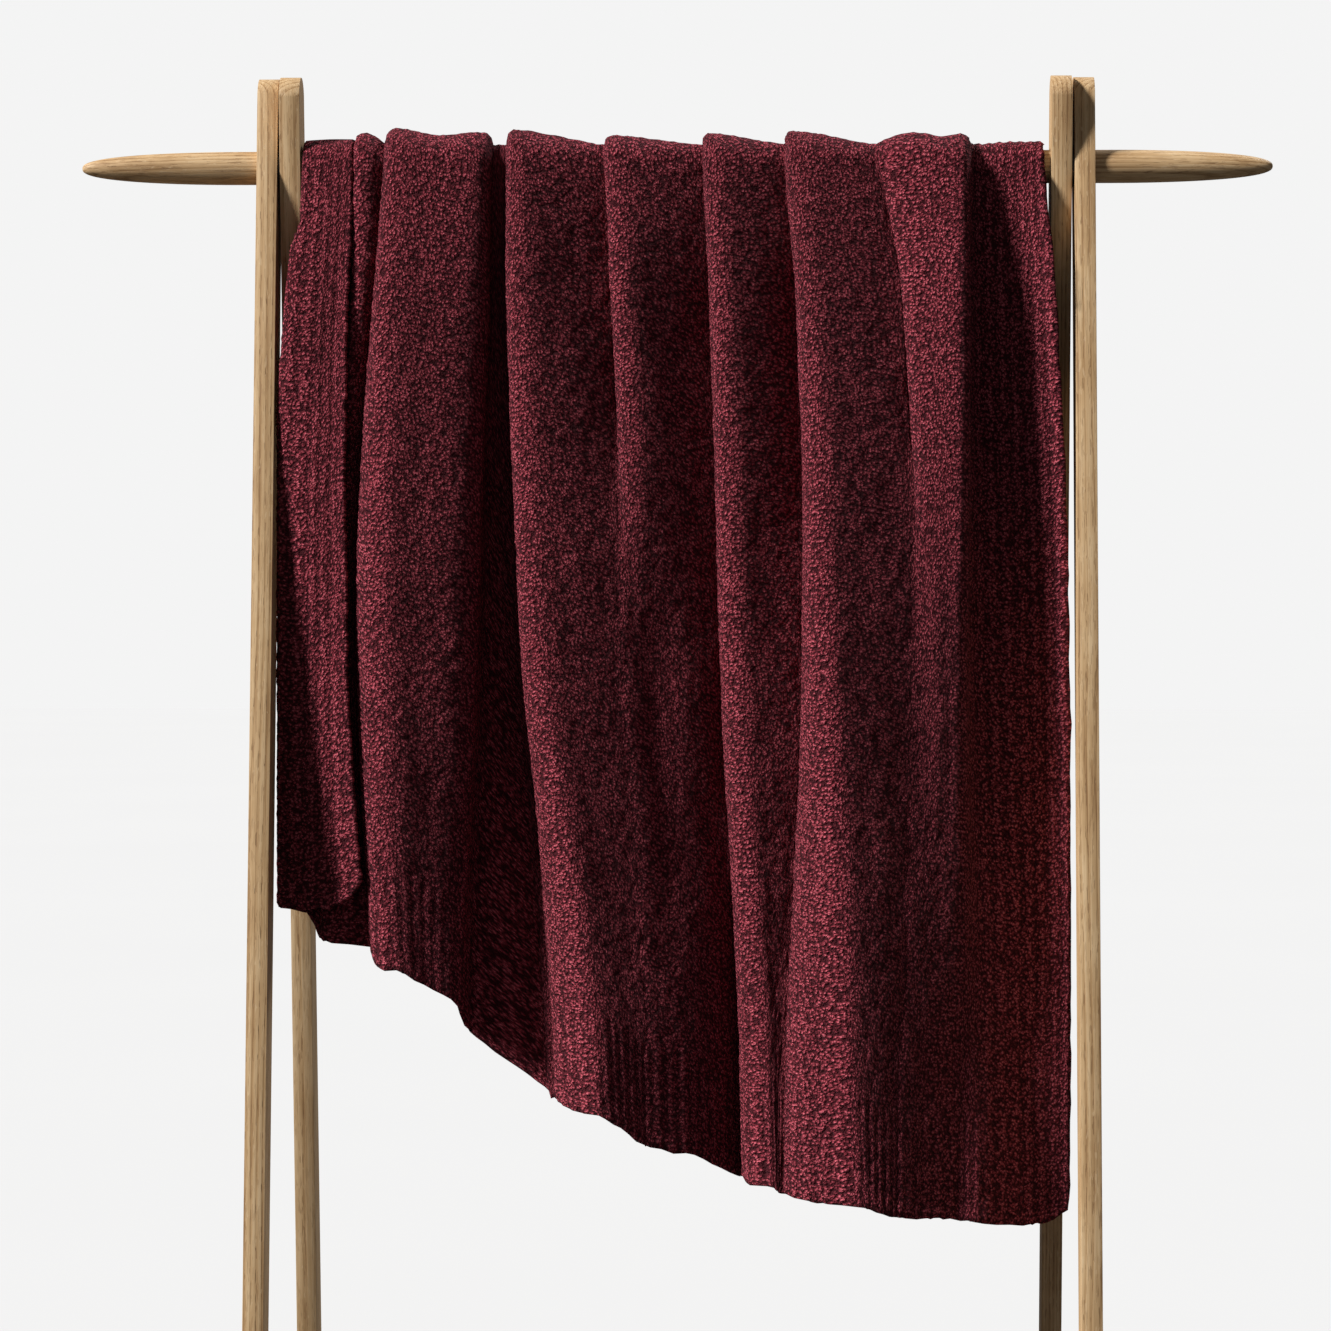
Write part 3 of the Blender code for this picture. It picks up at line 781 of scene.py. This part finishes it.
def sample(values):
    """Values of the whole grid, read between its points."""
    i = np.clip(fine_column.astype(int), 0, COLUMNS - 1)
    j = np.clip(fine_row.astype(int), 0, rows - 1)
    fi, fj = fine_column - i, fine_row - j
    if values.ndim == 3:
        fi, fj = fi[:, :, None], fj[:, :, None]
    low = values[i, j] * (1 - fi) + values[i + 1, j] * fi
    high = values[i, j + 1] * (1 - fi) + values[i + 1, j + 1] * fi
    return low * (1 - fj) + high * fj


cloth, across, along = sample(cloth), sample(across), sample(along)
normals = np.cross(np.gradient(cloth, axis=0), np.gradient(cloth, axis=1))
normals /= np.linalg.norm(normals, axis=2, keepdims=True) + 1e-12

# Loops stand out all along the edges.
uneven = np.random.default_rng(25)
edges = (
    (cloth[:, 0], cloth[:, 1]), (cloth[:, -1], cloth[:, -2]),
    (cloth[0], cloth[1]), (cloth[-1], cloth[-2]),
)
for edge, beside in edges:
    away = edge - beside
    away /= np.linalg.norm(away, axis=1, keepdims=True) + 1e-9
    edge += away * uneven.uniform(-0.0011, 0.0011, (len(edge), 1))

# Loops of the knit, and the ribs of the border.
from_edge = np.minimum(
    np.minimum(across, QUILT_WIDTH - across), np.minimum(along, QUILT_LENGTH - along)
)
in_border = np.clip((BORDER - from_edge) / 0.006 + 0.5, 0, 1)
loops = np.random.default_rng(21).uniform(-0.42, 0.42, across.shape)
loops += 0.22 * smooth_noise(across, along, 0.0095, 0.0095, 24)
loops += 0.10 * smooth_noise(across, along, 0.019, 0.017, 22)
rib_height = 0.8 + 0.3 * smooth_noise(across, along, 0.02, 0.03, 23)
ribs = np.cos(2 * math.pi * across / RIB) * rib_height
pile = loops * (1 - 0.25 * in_border) + ribs * 0.45 * in_border

# The two faces. They come together round the rim, and the inner one has a pile on the flap.
rim = np.clip(from_edge / 0.0030, 0, 1)
rounding = 0.42 + 0.58 * np.sqrt(1 - (1 - rim) ** 2)
pile_rim = 0.4 + 0.6 * rim
on_flap = np.where(column[:, None] <= FLAP_COLUMNS, 1.0, 0.0) * (along < 0.9)
on_flap = on_flap * np.clip((BAR_HEIGHT - cloth[:, :, 2]) / 0.03, 0, 1)
outer = cloth + normals * (OUTWARD * rounding + PILE * pile * pile_rim)[:, :, None]
inner_depth = INWARD * rounding + on_flap * (0.0008 + PILE * pile) * pile_rim
inner = cloth - normals * inner_depth[:, :, None]

# The outer face is the whole grid. The inner face skips points where it is hidden.
inner_columns = list(range(FLAP_COLUMNS)) + list(range(FLAP_COLUMNS, COLUMNS + 1, COARSE))
inner_rows = list(range(0, rows + 1, COARSE))
outer_index = np.arange((COLUMNS + 1) * (rows + 1)).reshape(COLUMNS + 1, rows + 1)
inner_index = -np.ones_like(outer_index)
kept = []
for i in inner_columns:
    for j in range(rows + 1) if i <= FLAP_COLUMNS else inner_rows:
        inner_index[i, j] = outer_index.size + len(kept)
        kept.append((i, j))
kept = np.array(kept)


def both_faces(outer_values, inner_values):
    """Values at every point: the outer face's grid, then the points kept on the inner face."""
    flat = outer_values.reshape(-1, *outer_values.shape[2:])
    return np.concatenate([flat, inner_values[kept[:, 0], kept[:, 1]]])


faces = []
for near, far in zip(outer_index, outer_index[1:]):
    for j in range(rows):
        faces.append((near[j], far[j], far[j + 1], near[j + 1]))
for a, b in zip(inner_columns, inner_columns[1:]):
    stops = list(range(rows + 1)) if b <= FLAP_COLUMNS else inner_rows
    for low, high in zip(stops, stops[1:]):
        near = [index for index in inner_index[a, low : high + 1] if index >= 0]
        faces.append([*near, inner_index[b, high], inner_index[b, low]])


def edge_strip(outer_line, inner_line):
    """Faces between the outer and the coarser inner rim, along matching lines of indices."""
    places = [k for k, index in enumerate(inner_line) if index >= 0]
    for low, high in zip(places, places[1:]):
        faces.append([*outer_line[low : high + 1], inner_line[high], inner_line[low]])


edge_strip(outer_index[:, 0][::-1], inner_index[:, 0][::-1])
edge_strip(outer_index[:, rows], inner_index[:, rows])
edge_strip(outer_index[0], inner_index[0])
edge_strip(outer_index[COLUMNS][::-1], inner_index[COLUMNS][::-1])

mesh = bpy.data.meshes.new("knitted_quilt")
mesh.from_pydata(
    both_faces(outer, inner).tolist(), [], [[int(index) for index in face] for face in faces]
)
quilt = bpy.data.objects.new("knitted_quilt", mesh)
bpy.context.scene.collection.objects.link(quilt)
corner_points = np.zeros(len(mesh.loops), np.int32)
mesh.loops.foreach_get("vertex_index", corner_points)
on_cloth = np.stack([both_faces(across, across), both_faces(along, along)], axis=1)
cloth_map = mesh.uv_layers.new(name="cloth")
cloth_map.data.foreach_set("uv", on_cloth[corner_points].ravel())
# The pile is kept on the points for the material, which paints shade where the loops sink in.
pile_attribute = mesh.attributes.new("pile", "FLOAT", "POINT")
pile_attribute.data.foreach_set("value", both_faces(pile, pile).astype(np.float32))
bpy.ops.object.select_all(action="DESELECT")
quilt.select_set(True)
bpy.context.view_layer.objects.active = quilt
bpy.ops.object.mode_set(mode="EDIT")
bpy.ops.mesh.select_all(action="SELECT")
bpy.ops.mesh.normals_make_consistent(inside=False)
bpy.ops.object.mode_set(mode="OBJECT")
bpy.ops.object.shade_smooth()


def knit_material():
    """Looped yarn in a deep red, with courses and a ribbed border. Its colour is painted from the
    yarn's height: painted highlights on the loop and rib tops, and painted shade in the gaps
    between them.
    """
    knit, tree, shader = new_material("red_chenille", 0.92, specular=0.12)
    shader.inputs["Sheen Weight"].default_value = 0.06
    shader.inputs["Sheen Roughness"].default_value = 0.45
    shader.inputs["Sheen Tint"].default_value = (1.0, 0.36, 0.45, 1)
    links = tree.links
    place = add_node(tree, "ShaderNodeUVMap", {"uv_map": "cloth"})
    split = add_node(tree, "ShaderNodeSeparateXYZ")
    links.new(place.outputs["UV"], split.inputs["Vector"])
    u, v = split.outputs["X"], split.outputs["Y"]
    # The yarn's loops, on coordinates that are bent so they never line up.
    bend = add_node(tree, "ShaderNodeTexNoise", Scale=110.0, Detail=2.0)
    links.new(place.outputs["UV"], bend.inputs["Vector"])
    pull = add_node(tree, "ShaderNodeVectorMath", {"operation": "MULTIPLY_ADD"})
    links.new(bend.outputs["Color"], pull.inputs[0])
    pull.inputs[1].default_value = (0.003, 0.003, 0.0)
    links.new(place.outputs["UV"], pull.inputs[2])

    def loops(scale, smoothness):
        cells = add_node(
            tree, "ShaderNodeTexVoronoi", {"feature": "SMOOTH_F1"}, Scale=scale,
            Smoothness=smoothness, Randomness=1.0,
        )
        links.new(pull.outputs["Vector"], cells.inputs["Vector"])
        return add_math(tree, "SUBTRACT", 1.0, cells.outputs["Distance"])

    tufts, curls = loops(330.0, 0.03), loops(700.0, 0.05)
    fuzz = add_node(tree, "ShaderNodeTexNoise", Scale=950.0, Detail=3.0, Roughness=0.7)
    links.new(place.outputs["UV"], fuzz.inputs["Vector"])
    yarn = add_math(tree, "MULTIPLY_ADD", tufts, 0.70, -0.11)
    yarn = add_math(tree, "MULTIPLY_ADD", curls, 0.30, yarn)
    yarn = add_math(tree, "MULTIPLY_ADD", fuzz.outputs["Fac"], 0.22, yarn)
    # Courses across the cloth, and ribs along it in the border.
    course = add_math(tree, "SINE", add_math(tree, "MULTIPLY", v, 2 * math.pi / COURSE))
    rib = add_math(tree, "COSINE", add_math(tree, "MULTIPLY", u, 2 * math.pi / RIB))
    from_sides = add_math(tree, "MINIMUM", u, add_math(tree, "SUBTRACT", QUILT_WIDTH, u))
    from_ends = add_math(tree, "MINIMUM", v, add_math(tree, "SUBTRACT", QUILT_LENGTH, v))
    gap = add_math(tree, "SUBTRACT", BORDER, add_math(tree, "MINIMUM", from_sides, from_ends))
    border = add_math(tree, "DIVIDE", gap, 0.005, clamp=True)
    ribbing = add_math(tree, "MULTIPLY", add_math(tree, "MULTIPLY", rib, 0.035), border)
    raised = add_node(tree, "ShaderNodeAttribute", {"attribute_name": "pile"})
    height = add_math(tree, "ADD", yarn, ribbing)
    height = add_math(tree, "MULTIPLY_ADD", course, 0.03, height)
    height = add_math(tree, "MULTIPLY_ADD", raised.outputs["Fac"], 0.05, height)
    # Painted shade and highlight: the height of the loops, courses, ribs and pile is turned into
    # colour, dark in the gaps and hollows and light on the tops, as well as into the bump.
    colour = add_ramp(tree, height, YARN_RED_AND_PAINTED_SHADE)
    links.new(colour, shader.inputs["Base Color"])
    bump = add_node(tree, "ShaderNodeBump", Strength=1.0, Distance=0.0095)
    links.new(height, bump.inputs["Height"])
    links.new(bump.outputs["Normal"], shader.inputs["Normal"])
    return knit


quilt.data.materials.append(knit_material())
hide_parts("quilt")
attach(quilt, "throw")
